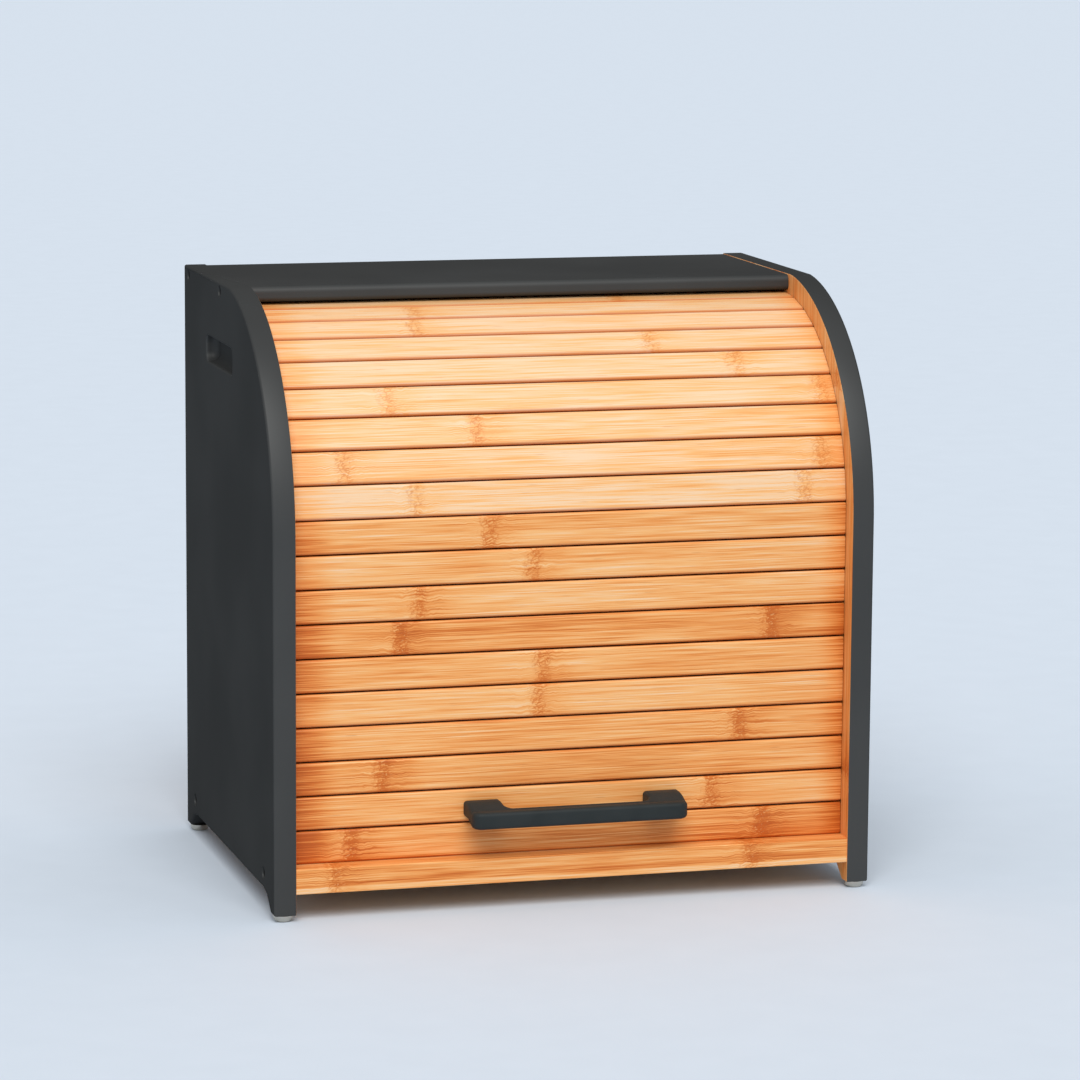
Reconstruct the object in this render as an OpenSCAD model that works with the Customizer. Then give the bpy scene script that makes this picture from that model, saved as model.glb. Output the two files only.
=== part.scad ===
// Roll-top bread box with an inner drawer.
// Width runs along X, the front faces -Y, and Z = 0 is the plane that the feet stand on.
// The case is drawn from its own corner: Y = 0 at the side panels' front edge and Z = 0 at their bottom edge.

/* [Case] */
// Overall width over both side panels
case_w = 380; // [340:1:440]
// Depth of the side panels
case_d = 266; // [262:1:290]
// Height of the side panels
case_h = 368.5; // [350:1:400]
// Thickness of the side panels
side_t = 14; // [12:0.5:18]
// Radius of the rounded front top corner of the side panels
corner_r = 142; // [130:1:146]
// How far the corner arc would rise past the flat top
corner_lift = 1; // [0:0.5:3]

/* [Boards] */
// Thickness of the top board
top_t = 9.7; // [9:0.1:9.8]
// Step from the side panels' top edge down to the top board
top_step = 0.6; // [0.4:0.1:1.2]
// Distance from the case's front edge to the nose of the top board
top_nose_y = 130; // [124:1:136]
// Rounding of the top board's nose
nose_r = 4; // [2:0.5:6]
// Thickness of the base board
base_t = 15.6; // [13:0.1:17]
// Height of the base board's top face above the side panels' bottom edge
base_top_z = 28.2; // [26:0.5:32]
// Setback of the base board behind the side panels' front edge
base_setback = 0.6; // [0.4:0.1:3]
// Thickness of the back panel
back_t = 4; // [3:0.5:5]

/* [Bottom recess and feet] */
// Height of the recess along the bottom edge of the side panels
recess_h = 11; // [8:0.5:14]
// Flat length of each pad beside the recess
pad_l = 9.5; // [8:0.5:14]
// Length of the steep part of the recess's sloped end
slope_l = 11; // [8:0.5:16]
// Height of the steep part of the recess's sloped end
slope_h = 8.6; // [6:0.2:8.8]
// Length of the shallow part of the recess's sloped end
shoulder_l = 11; // [8:0.5:16]
// Diameter of a foot where it meets the side panel
foot_d = 12; // [10:0.5:13]
// Diameter of a foot where it meets the table
foot_tip_d = 8.4; // [7:0.2:9.5]
// Height of a foot
foot_h = 4.2; // [3:0.2:6]
// Height of the straight rim at the top of a foot
foot_rim_h = 1.4; // [0.6:0.2:2]
// Distance from a foot's axis to the end of the side panel
foot_inset = 6.5; // [6.5:0.5:9]
// Diameter of a foot's nail
foot_pin_d = 3; // [2:0.5:4]
// Length of a foot's nail in the side panel
foot_pin_l = 14; // [10:1:20]

/* [Grip recesses] */
// Length of the finger recess in a side panel's outer face
grip_l = 80; // [60:1:84]
// Height of that recess
grip_h = 16.5; // [12:0.5:18]
// Corner rounding of that recess
grip_r = 6; // [3:0.5:6]
// Depth of that recess
grip_depth = 8; // [6:0.5:8.5]
// Distance from the case's front edge to the middle of the recess
grip_y = 156; // [150:0.5:160]
// Distance from the side panels' top edge down to the middle of the recess
grip_drop = 45.5; // [44:0.5:60]

/* [Curtain] */
// Distance from the side panels' edge in to the curtain's outer face
curtain_inset = 13; // [11:0.5:15]
// Number of slats
slat_count = 19; // [19]
// Distance from slat to slat
slat_pitch = 21.1; // [20:0.1:21.4]
// Thickness of a slat
slat_t = 7; // [6:0.5:8]
// Gap between neighbouring slats at their outer face
slat_gap = 1.7; // [1.4:0.1:2]
// How much narrower a slat is at its inner face, on each edge
slat_taper = 1.6; // [1.4:0.1:2.4]
// Clearance between the closed curtain and the base board
curtain_foot_gap = 0.45; // [0.3:0.05:1]
// Clearance between a slat's end and the side panel
slat_end_gap = 0.5; // [0.4:0.1:0.6]
// Distance from the rear edge of the case to the outer face of the curtain's rear run
rear_inset = 18; // [16.5:0.5:19]
// Depth of the curtain's groove in a side panel
groove_depth = 5; // [4:0.5:6]
// Clearance between the curtain and each wall of its groove
groove_gap = 0.7; // [0.5:0.1:0.8]
// Height of the lower end of the groove's rear run
groove_end_z = 90; // [60:1:110]

/* [Handle] */
// Length of the handle
handle_l = 137; // [110:0.5:160]
// Height of the handle's bar
handle_h = 10.6; // [10:0.2:14]
// Depth of the handle's bar
handle_bar_d = 10; // [8:0.5:12]
// Reach of the handle out of the curtain
handle_reach = 25.5; // [23:0.5:34]
// Width of each leg of the handle
handle_leg_w = 22.5; // [16:0.5:26]
// Outer corner rounding of the handle
handle_r = 6; // [4:0.5:9]
// Inner corner rounding of the handle
handle_inner_r = 5; // [3:0.5:8]
// How far the ends of the handle's legs sit below the middle of their slat
handle_drop = 1.8; // [0:0.1:3]
// How far the legs slope down from there to the bar
bar_droop = 3.3; // [0:0.1:3.6]
// Diameter of a handle screw
handle_screw_d = 4; // [3:0.5:5]
// Length of a handle screw in the leg
handle_screw_bite = 10; // [6:1:12]
// Diameter of a handle screw's head
handle_head_d = 7.5; // [7:0.5:9]
// Height of a handle screw's head
handle_head_h = 2.1; // [1.8:0.1:2.6]

/* [Case screws] */
// Diameter of a case screw's shank
screw_d = 4; // [3:0.5:5]
// Length of a case screw's shank in the board
screw_bite = 26; // [15:1:35]
// Diameter of a case screw's head
screw_head_d = 7; // [6:0.2:7.4]
// Height of a case screw's head
screw_head_h = 4; // [3:0.2:5]
// Diameter of the counterbore round a case screw's head
screw_bore_d = 7.6; // [7.6:0.2:8.4]
// Depth of that counterbore
screw_bore_depth = 5; // [4:0.5:7]
// Width across the flats of the hexagon socket
socket_w = 3.4; // [3:0.2:4]
// Depth of the hexagon socket
socket_depth = 2.4; // [1:0.2:2.8]
// Distance from the front edge to the front screws of the base board
base_screw_front = 30; // [25:1:60]
// Distance from the rear edge to the rear screws of the base board
base_screw_rear = 27; // [15:1:60]
// Distance from the front edge to the front screws of the top board
top_screw_front = 154; // [150:1:180]
// Distance from the rear edge to the rear screws of the top board
top_screw_rear = 14; // [12:1:30]

/* [Shelf] */
// Thickness of the shelf
shelf_t = 8; // [6:0.5:12]
// Height of the shelf's top face
shelf_top_z = 126; // [120:1:170]
// Distance from the front edge to the shelf
shelf_front_y = 36; // [35:1:60]
// Distance from the rear edge to the shelf
shelf_rear_gap = 30; // [28:1:60]
// Clearance between the shelf and each side panel
shelf_end_gap = 0.5; // [0.3:0.1:2]
// Width and height of a shelf cleat
cleat_w = 10; // [8:0.5:14]
// Distance from a shelf cleat's end to the shelf's edge
cleat_end_gap = 8; // [2:1:20]

/* [Drawer] */
// Distance from the front edge to the closed drawer's front
drawer_y = 60; // [58:1:80]
// Clearance under the drawer
drawer_under_gap = 1.2; // [1:0.1:3]
// Height of the drawer's front
drawer_front_h = 74; // [60:1:76]
// Thickness of the drawer's front
drawer_front_t = 12; // [10:0.5:15]
// Clearance between the drawer's front and each side panel
drawer_front_gap = 2; // [1:0.5:4]
// Height of the drawer's sides
drawer_side_h = 64; // [50:1:64]
// Thickness of the drawer's sides and back
drawer_side_t = 10; // [8:0.5:12]
// Length of the drawer's sides
drawer_side_l = 160; // [120:1:165]
// Thickness of the drawer's bottom
drawer_bottom_t = 5; // [4:0.5:8]
// Height of the drawer's bottom above the sides' lower edge
drawer_bottom_rise = 4; // [2:0.5:8]
// Width of the finger notch in the drawer's front
notch_w = 90; // [60:1:120]
// Depth of the finger notch in the drawer's front
notch_h = 20; // [12:1:24]
// Distance from a side panel to the drawer's side
drawer_side_gap = 5; // [4:0.5:8]
// Height of a drawer runner
runner_h = 9; // [7:0.5:12]
// How far a runner reaches into the groove of the drawer's side
runner_reach = 4; // [3:0.5:5]
// Clearance between a runner and the walls of that groove
runner_gap = 0.5; // [0.4:0.1:1]
// Height of a runner's middle above the base board
runner_z = 38; // [30:1:45]
// Length of a runner
runner_l = 158; // [120:1:165]
// Distance from the front end of the drawer's sides to the runners
runner_setback = 4; // [2:0.5:8]

/* [Hidden] */
$fn = 96;
eps = 0.01;
cut = 1;
fit_gap = 0.05;
head_gap = 0.2;
head_sink = 0.3;

paint = "#34393b";
steel_blue = "#26313a";
bamboo = "#e0a566";
bamboo_pale = "#ecbd83";
bamboo_deep = "#cf8f52";
screw_black = "#1b1d1f";
nickel = "#b9b6ae";

inner_w = case_w - 2 * side_t;
inner_x = inner_w / 2;
arc_z = case_h + corner_lift - corner_r;

// The curtain's outer face follows a track: up the front, over the front arc,
// over the rear arc and down the rear. Places on it are lengths from its lower front end.
track_z0 = base_top_z + curtain_foot_gap - slat_gap / 2;
front_r = corner_r - curtain_inset;
rear_y = case_d - rear_inset;
rear_r = rear_y - corner_r;
track_top_z = arc_z + front_r;
rear_arc_z = track_top_z - rear_r;
front_run = arc_z - track_z0;
front_arc = front_r * PI / 2;
rear_arc = rear_r * PI / 2;

top_z = case_h - top_step;
top_under_z = top_z - top_t;
base_under_z = base_top_z - base_t;
back_y = case_d - back_t;

handle_slat = 2;
handle_y = curtain_inset - handle_reach;
case_shift_y = -(case_d + handle_y) / 2;
handle_screw_x = (handle_l - handle_leg_w) / 2;
handle_z = track_z0 + (handle_slat - 0.5) * slat_pitch - handle_drop;
bar_z = handle_z - bar_droop;
handle_seat_y = curtain_inset + slat_t - handle_head_h - head_sink;

base_screw_z = (base_top_z + base_under_z) / 2;
top_screw_z = (top_z + top_under_z) / 2;
screw_seats = [
    [base_screw_front, base_screw_z],
    [case_d - base_screw_rear, base_screw_z],
    [top_screw_front, top_screw_z],
    [case_d - top_screw_rear, top_screw_z]
];

shelf_l = case_d - shelf_rear_gap - shelf_front_y;
shelf_under_z = shelf_top_z - shelf_t;
drawer_z = base_top_z + drawer_under_gap;
drawer_side_y = drawer_y + drawer_front_t;
drawer_side_x = inner_x - drawer_side_gap;
drawer_inner_x = drawer_side_x - drawer_side_t;
drawer_back_y = drawer_side_y + drawer_side_l - drawer_side_t;
runner_y = drawer_side_y + runner_setback;
runner_t = drawer_side_gap + runner_reach;
runner_mid_z = base_top_z + runner_z;

SLATS = ["slat_01", "slat_02", "slat_03", "slat_04", "slat_05", "slat_06", "slat_07", "slat_08", "slat_09",
    "slat_10", "slat_11", "slat_12", "slat_13", "slat_14", "slat_15", "slat_16", "slat_17", "slat_18", "slat_19"];

// Angle of the track from straight up at length s, turning towards the rear.
function track_angle(s) =
    s < front_run ? 0
    : s < front_run + front_arc ? (s - front_run) / front_r * 180 / PI
    : s < front_run + front_arc + rear_arc ? 90 + (s - front_run - front_arc) / rear_r * 180 / PI
    : 180;

// Place [y, z] on the track at length s.
function track_point(s) =
    let (a = track_angle(s))
    s < front_run ? [curtain_inset, track_z0 + s]
    : a < 90 ? [corner_r - front_r * cos(a), arc_z + front_r * sin(a)]
    : a < 180 ? [corner_r + rear_r * sin(a - 90), rear_arc_z + rear_r * cos(a - 90)]
    : [rear_y, rear_arc_z - (s - front_run - front_arc - rear_arc)];

// Moves what is drawn from the case's corner into the part's frame.
module in_frame() {
    translate([0, case_shift_y, foot_h]) children();
}

// Extrudes an outline drawn in Y and Z along X, from x to x + length.
module along_x(x, length) {
    translate([x, 0, 0]) rotate([90, 0, 90]) linear_extrude(length) children();
}

// Mirrors its children to both sides of the case.
module both_sides() {
    children();
    mirror([1, 0, 0]) children();
}

// Outline of the space inside the curtain's track, drawn `inset` within the curtain's outer face.
module track_outline(inset, floor_z) {
    overlap = 10;
    translate([curtain_inset + inset, floor_z])
        square([corner_r + overlap - curtain_inset - inset, arc_z - floor_z]);
    intersection() {
        translate([corner_r, arc_z]) circle(front_r - inset);
        translate([0, arc_z - overlap]) square([corner_r, corner_r + overlap]);
    }
    translate([corner_r - overlap, floor_z])
        square([rear_y - inset - corner_r + overlap, rear_arc_z - floor_z]);
    intersection() {
        translate([corner_r, rear_arc_z]) circle(rear_r - inset);
        translate([corner_r, rear_arc_z - overlap]) square(corner_r);
    }
}

// ---- Case ----

module side_outline() {
    intersection() {
        union() {
            square([case_d, arc_z]);
            translate([corner_r, 0]) square([case_d - corner_r, case_h]);
            translate([corner_r, arc_z]) circle(corner_r);
        }
        square([case_d, case_h]);
    }
}

module recess_outline() {
    steep = pad_l + slope_l;
    shallow = steep + shoulder_l;
    polygon([
        [pad_l, -cut], [pad_l, 0], [steep, slope_h], [shallow, recess_h],
        [case_d - shallow, recess_h], [case_d - steep, slope_h], [case_d - pad_l, 0], [case_d - pad_l, -cut]
    ]);
}

module grip_outline() {
    dy = grip_l / 2 - grip_r;
    dz = grip_h / 2 - grip_r;
    translate([grip_y, case_h - grip_drop]) {
        square([grip_l, 2 * dz], center = true);
        square([2 * dy, grip_h], center = true);
        for (sy = [-1, 1], sz = [-1, 1]) translate([sy * dy, sz * dz]) circle(grip_r);
    }
}

// Curtain groove, as a band between two insets of the track.
module groove_outline() {
    floor_z = base_top_z - groove_gap;
    difference() {
        track_outline(-groove_gap, floor_z);
        track_outline(slat_t + groove_gap, floor_z - cut);
        translate([rear_y - slat_t - groove_gap - eps, floor_z - cut])
            square([case_d, groove_end_z - floor_z + cut]);
    }
}

// Side panel on the +X side, or the same mirrored.
module side_panel() {
    difference() {
        along_x(inner_x, side_t) difference() {
            side_outline();
            recess_outline();
        }
        along_x(inner_x + side_t - grip_depth, grip_depth + cut) grip_outline();
        along_x(inner_x - cut, groove_depth + cut) groove_outline();
        for (seat = screw_seats) translate([inner_x, seat[0], seat[1]]) rotate([0, 90, 0]) {
            translate([0, 0, -cut]) cylinder(d = screw_d + 2 * fit_gap, h = side_t + 2 * cut);
            translate([0, 0, side_t - screw_bore_depth]) cylinder(d = screw_bore_d, h = screw_bore_depth + cut);
        }
        for (y = [foot_inset, case_d - foot_inset]) translate([inner_x + side_t / 2, y, -cut])
            cylinder(d = foot_pin_d + 2 * fit_gap, h = foot_pin_l + cut + fit_gap);
    }
}

module left_side_panel() {
    color(paint) in_frame() mirror([1, 0, 0]) side_panel();
}

module right_side_panel() {
    color(paint) in_frame() side_panel();
}

// Holes for the case screws in a board's two ends; which = 0 for the base board and 2 for the top board.
module board_screw_holes(which) {
    both_sides() for (i = [which, which + 1])
        translate([inner_x - screw_bite - fit_gap, screw_seats[i][0], screw_seats[i][1]])
            rotate([0, 90, 0]) cylinder(d = screw_d + 2 * fit_gap, h = screw_bite + fit_gap + cut);
}

module top_board() {
    color(paint) in_frame() difference() {
        along_x(-inner_x, inner_w) {
            translate([top_nose_y + nose_r, top_under_z]) square([case_d - top_nose_y - nose_r, top_t]);
            translate([top_nose_y, top_under_z]) square([nose_r + eps, top_t - nose_r]);
            translate([top_nose_y + nose_r, top_z - nose_r]) circle(nose_r);
        }
        board_screw_holes(2);
    }
}

module base_board() {
    color(bamboo) in_frame() difference() {
        translate([-inner_x, base_setback, base_under_z])
            cube([inner_w, case_d - base_setback, base_t]);
        board_screw_holes(0);
    }
}

module back_panel() {
    color(bamboo_deep) in_frame() translate([-inner_x, back_y, base_top_z])
        cube([inner_w, back_t, top_under_z - base_top_z]);
}

// Shelf cleat on the +X side.
module shelf_cleat() {
    translate([inner_x - cleat_w, shelf_front_y + cleat_end_gap, shelf_under_z - cleat_w])
        cube([cleat_w, shelf_l - 2 * cleat_end_gap, cleat_w]);
}

module left_shelf_cleat() {
    color(bamboo_deep) in_frame() mirror([1, 0, 0]) shelf_cleat();
}

module right_shelf_cleat() {
    color(bamboo_deep) in_frame() shelf_cleat();
}

module shelf() {
    color(bamboo_pale) in_frame() translate([-inner_x + shelf_end_gap, shelf_front_y, shelf_under_z])
        cube([inner_w - 2 * shelf_end_gap, shelf_l, shelf_t]);
}

module case_screw() {
    difference() {
        cylinder(d = screw_head_d, h = screw_head_h);
        translate([0, 0, screw_head_h - socket_depth])
            cylinder(d = socket_w / cos(30), h = socket_depth + cut, $fn = 6);
    }
    translate([0, 0, screw_bore_depth - side_t - screw_bite])
        cylinder(d = screw_d, h = side_t - screw_bore_depth + screw_bite + eps);
}

module case_screws() {
    color(screw_black) in_frame() both_sides() for (seat = screw_seats)
        translate([inner_x + side_t - screw_bore_depth, seat[0], seat[1]]) rotate([0, 90, 0]) case_screw();
}

module foot() {
    rotate_extrude() polygon([
        [0, -foot_h], [foot_tip_d / 2, -foot_h], [foot_d / 2, -foot_rim_h], [foot_d / 2, 0],
        [foot_pin_d / 2, 0], [foot_pin_d / 2, foot_pin_l], [0, foot_pin_l]
    ]);
}

module feet() {
    color(nickel) in_frame() both_sides() for (y = [foot_inset, case_d - foot_inset])
        translate([inner_x + side_t / 2, y, 0]) foot();
}

// ---- Curtain ----

// Section of a slat: outer face on the track, inner face slat_t further in and narrower.
module slat_section() {
    half = (slat_pitch - slat_gap) / 2;
    polygon([[0, -half], [0, half], [slat_t, half - slat_taper], [slat_t, slat_taper - half]]);
}

// Slat number i, counted from 1 at the bottom of the closed curtain.
module slat(i) {
    s = (i - 0.5) * slat_pitch;
    p = track_point(s);
    length = inner_w - 2 * slat_end_gap;
    shade = [bamboo, bamboo_pale, bamboo_deep, bamboo_pale][i % 4];
    color(shade) in_frame() translate([0, p[0], p[1]]) rotate([-track_angle(s), 0, 0]) difference() {
        along_x(-length / 2, length) slat_section();
        if (i == handle_slat) for (sx = [-1, 1])
            translate([sx * handle_screw_x, 0, -handle_drop]) rotate([-90, 0, 0]) {
                translate([0, 0, -cut]) cylinder(d = handle_screw_d + 2 * fit_gap, h = slat_t + 2 * cut);
                translate([0, 0, handle_seat_y - curtain_inset])
                    cylinder(d = handle_head_d + 2 * head_gap, h = slat_t);
            }
    }
}

module handle_outline() {
    w = handle_l / 2;
    d = handle_reach;
    window_w = handle_l - 2 * handle_leg_w;
    window_d = d - handle_bar_d;
    difference() {
        union() {
            translate([-w, handle_r]) square([handle_l, d - handle_r]);
            translate([-w + handle_r, 0]) square([handle_l - 2 * handle_r, handle_r + eps]);
            for (sx = [-1, 1]) translate([sx * (w - handle_r), handle_r]) circle(handle_r);
        }
        translate([-window_w / 2, handle_bar_d + handle_inner_r]) square([window_w, window_d]);
        translate([-window_w / 2 + handle_inner_r, handle_bar_d])
            square([window_w - 2 * handle_inner_r, handle_inner_r + eps]);
        for (sx = [-1, 1])
            translate([sx * (window_w / 2 - handle_inner_r), handle_bar_d + handle_inner_r]) circle(handle_inner_r);
    }
}

// Side view of the handle, whose legs slope down from the curtain to a level bar.
module handle_profile() {
    bar_y = handle_y + handle_bar_d;
    half = handle_h / 2;
    polygon([
        [handle_y, bar_z - half], [bar_y, bar_z - half], [curtain_inset, handle_z - half],
        [curtain_inset, handle_z + half], [bar_y, bar_z + half], [handle_y, bar_z + half]
    ]);
}

module pull_handle() {
    color(steel_blue) in_frame() difference() {
        intersection() {
            translate([0, handle_y, bar_z - handle_h]) linear_extrude(2 * handle_h + bar_droop) handle_outline();
            along_x(-handle_l / 2 - cut, handle_l + 2 * cut) handle_profile();
        }
        for (sx = [-1, 1]) translate([sx * handle_screw_x, curtain_inset + cut, handle_z]) rotate([90, 0, 0])
            cylinder(d = handle_screw_d + 2 * fit_gap, h = handle_screw_bite + cut + fit_gap);
    }
}

module handle_screws() {
    color(screw_black) in_frame() for (sx = [-1, 1])
        translate([sx * handle_screw_x, handle_seat_y, handle_z]) {
            rotate([-90, 0, 0]) cylinder(d = handle_head_d, h = handle_head_h);
            rotate([90, 0, 0]) cylinder(d = handle_screw_d, h = handle_seat_y - curtain_inset + handle_screw_bite);
        }
}

// ---- Drawer ----

module drawer_front() {
    front_w = inner_w - 2 * drawer_front_gap;
    notch_r = (notch_w * notch_w / 4 + notch_h * notch_h) / (2 * notch_h);
    color(bamboo_pale) in_frame() difference() {
        translate([-front_w / 2, drawer_y, drawer_z]) cube([front_w, drawer_front_t, drawer_front_h]);
        translate([0, drawer_y - cut, drawer_z + drawer_front_h - notch_h + notch_r]) rotate([-90, 0, 0])
            cylinder(r = notch_r, h = drawer_front_t + 2 * cut);
    }
}

// Drawer side on the +X side, with the groove that its runner fits.
module drawer_side() {
    groove_h = runner_h + 2 * runner_gap;
    difference() {
        translate([drawer_inner_x, drawer_side_y, drawer_z]) cube([drawer_side_t, drawer_side_l, drawer_side_h]);
        translate([drawer_side_x - runner_reach - runner_gap, runner_y - runner_gap, runner_mid_z - groove_h / 2])
            cube([runner_reach + runner_gap + cut, drawer_side_l, groove_h]);
    }
}

module drawer_left_side() {
    color(bamboo) in_frame() mirror([1, 0, 0]) drawer_side();
}

module drawer_right_side() {
    color(bamboo) in_frame() drawer_side();
}

module drawer_back() {
    color(bamboo) in_frame() translate([-drawer_inner_x, drawer_back_y, drawer_z])
        cube([2 * drawer_inner_x, drawer_side_t, drawer_side_h]);
}

module drawer_bottom() {
    color(bamboo_deep) in_frame() translate([-drawer_inner_x, drawer_side_y, drawer_z + drawer_bottom_rise])
        cube([2 * drawer_inner_x, drawer_back_y - drawer_side_y, drawer_bottom_t]);
}

// Runner on the +X side, fixed to the side panel.
module drawer_runner() {
    translate([inner_x - runner_t, runner_y, runner_mid_z - runner_h / 2]) cube([runner_t, runner_l, runner_h]);
}

module left_drawer_runner() {
    color(bamboo_deep) in_frame() mirror([1, 0, 0]) drawer_runner();
}

module right_drawer_runner() {
    color(bamboo_deep) in_frame() drawer_runner();
}

left_side_panel();
right_side_panel();
top_board();
base_board();
back_panel();
left_shelf_cleat();
right_shelf_cleat();
shelf();
for (i = [1 : slat_count]) slat(i);
pull_handle();
handle_screws();
drawer_front();
drawer_left_side();
drawer_right_side();
drawer_back();
drawer_bottom();
left_drawer_runner();
right_drawer_runner();
case_screws();
feet();
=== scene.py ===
"""Roll-top bread box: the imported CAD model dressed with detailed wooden, painted and metal pieces."""

import math

import bmesh
import bpy
from mathutils import Matrix, Vector
from mathutils.geometry import tessellate_polygon


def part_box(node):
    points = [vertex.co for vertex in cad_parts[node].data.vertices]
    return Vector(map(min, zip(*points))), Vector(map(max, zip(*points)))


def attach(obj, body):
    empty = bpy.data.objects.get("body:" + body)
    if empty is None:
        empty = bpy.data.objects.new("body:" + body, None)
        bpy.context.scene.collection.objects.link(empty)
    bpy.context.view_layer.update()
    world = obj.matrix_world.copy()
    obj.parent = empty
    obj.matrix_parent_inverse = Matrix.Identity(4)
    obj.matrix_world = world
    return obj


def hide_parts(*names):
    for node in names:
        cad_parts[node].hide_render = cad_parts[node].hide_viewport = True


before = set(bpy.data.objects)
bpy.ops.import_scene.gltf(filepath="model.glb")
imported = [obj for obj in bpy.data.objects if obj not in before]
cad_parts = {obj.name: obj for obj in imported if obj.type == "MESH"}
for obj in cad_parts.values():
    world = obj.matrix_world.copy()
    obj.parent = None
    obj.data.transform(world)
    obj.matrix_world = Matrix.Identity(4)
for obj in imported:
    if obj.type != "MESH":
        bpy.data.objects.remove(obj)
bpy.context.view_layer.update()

# ---- Sizes, in millimetres, in the case's own coordinates ----
# X = 0 is the middle plane, Y = 0 the side panels' front edge and Z = 0 their bottom edge.

MM = 0.001
panel_low, panel_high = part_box("right_side_panel")
CASE_ORIGIN = Vector((0, panel_low.y, panel_low.z))
INNER_X = panel_low.x / MM
OUTER_X = panel_high.x / MM
SIDE_T = OUTER_X - INNER_X
CASE_D = (panel_high.y - panel_low.y) / MM
CASE_H = (panel_high.z - panel_low.z) / MM

# Side panels: the rounded corner, the eased edges and the recess along the bottom edge
CORNER_R = 142
CORNER_LIFT = 1
OUTER_ARRIS = 1.6
INNER_ARRIS = 0.5
RECESS_H = 11
PAD_L = 9.5
SLOPE_L = 11
SLOPE_H = 8.6
SHOULDER_L = 11

# Grip recess in a side panel
GRIP_L = 80
GRIP_H = 16.5
GRIP_R = 6
GRIP_DEPTH = 8
GRIP_Y = 156
GRIP_DROP = 45.5
GRIP_RIM_R = 1.2
GRIP_COVE_R = 5

# The curtain's track, which its outer face follows, and the grooves that its tenons run in
CURTAIN_INSET = 13
REAR_INSET = 18
BASE_TOP_Z = 28.2
TRACK_FOOT = 0.4
GROOVE_DEPTH = 5
GROOVE_SHOULDER = 0.5
GROOVE_RIM = 0.3
GROOVE_FOOT = 0.7
GROOVE_END_Z = 90

# Slats, their tenons and the canvas on their backs
SLAT_COUNT = 19
SLAT_PITCH = 21.1
SLAT_T = 7
SLAT_GAP = 0.9
SLAT_EDGE_R = 1.6
SLAT_TAPER = 1.4
SLAT_END_GAP = 0.15
SLAT_END_R = 0.4
TENON_L = 4
TENON_T = 5
TENON_ROOT = 1
TENON_ARRIS = 0.5
TENON_SHOULDER = 3
CANVAS_T = 0.5
CANVAS_BOND = 0.05
CANVAS_OVERHANG = 0.6
CANVAS_END_GAP = 6

# Boards: the top board's nose, the eased edges, and the base board's plies by height and change of tone
NOSE_R = 4
NOSE_UNDER_R = 3
BOARD_ARRIS = 0.7
THIN_ARRIS = 0.3
DRAWER_FRONT_ARRIS = 1.2
BASE_PLIES = ((16.4, 0.48), (20.6, -0.14))

# Screws of the case and their counterbores. A head is turned from (inset from its rim, height) pairs.
SCREW_HEAD_D = 7
SCREW_HEAD = ((0, 0), (0, 3.5), (0.15, 3.85), (0.5, 4))
SCREW_BORE_D = 7.6
SCREW_BORE_DEPTH = 5
SCREW_BORE_R = 0.3
SOCKET_W = 3.4
SOCKET_DEPTH = 2.4
BASE_SCREW_Z = 20.4
BASE_SCREW_FRONT = 30
BASE_SCREW_REAR = 27
TOP_SCREW_DROP = 5.45
TOP_SCREW_FRONT = 154
TOP_SCREW_REAR = 14

# Handle and its screws
HANDLE_SLAT = 2
HANDLE_L = 137
HANDLE_H = 10.6
HANDLE_BAR_D = 10
HANDLE_REACH = 25.5
HANDLE_LEG_W = 22.5
HANDLE_R = 6
HANDLE_INNER_R = 5
HANDLE_EDGE_R = 2.6
HANDLE_EDGE_STEPS = 6
HANDLE_RISE_Y = 7
HANDLE_RISE_L = 13
HANDLE_DROP = 1.8
BAR_DROOP = 3.3
PAN_HEAD_D = 7.5
PAN_HEAD = ((0, -2.1), (0, -0.4), (0.5, 0.2), (1.6, 0.5))
CROSS_REACH = 2
CROSS_HALF = 0.5
CROSS_DEPTH = 1.7

# Feet. The middle of the tip is flat, over a share of its width.
FOOT_D = 12
FOOT_TIP_D = 8.4
FOOT_H = 4.2
FOOT_INSET = 6.5
FOOT_TIP_FLAT = 0.7
FOOT_TIP_RISE = 0.08
FOOT_RIM_H = 1.2
FOOT_RIM_R = 0.3
FOOT_STEPS = 6

# What follows from the sizes above
ARC_Z = CASE_H + CORNER_LIFT - CORNER_R
TRACK_Z0 = BASE_TOP_Z - TRACK_FOOT
FRONT_R = CORNER_R - CURTAIN_INSET
REAR_Y = CASE_D - REAR_INSET
REAR_R = REAR_Y - CORNER_R
REAR_ARC_Z = ARC_Z + FRONT_R - REAR_R
FRONT_RUN = ARC_Z - TRACK_Z0
FRONT_ARC = FRONT_R * math.pi / 2
REAR_ARC = REAR_R * math.pi / 2
SLAT_HALF_H = (SLAT_PITCH - SLAT_GAP) / 2
SLAT_HALF_L = INNER_X - SLAT_END_GAP
HANDLE_Z = TRACK_Z0 + (HANDLE_SLAT - 0.5) * SLAT_PITCH - HANDLE_DROP

# How finely curves are drawn, and how meshes are cleaned
ARC_STEP = math.radians(2)
QUARTER_STEPS = 4
FINE_QUARTER_STEPS = 2
BORE_SIDES = 40
LATHE_SIDES = 48
WELD = 1e-7
COARSE_WELD = 1e-6
SHARP_ANGLE = math.radians(40)
CORNER_ANGLE = math.radians(35)
FLAT_ANGLE = math.radians(1)

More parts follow.
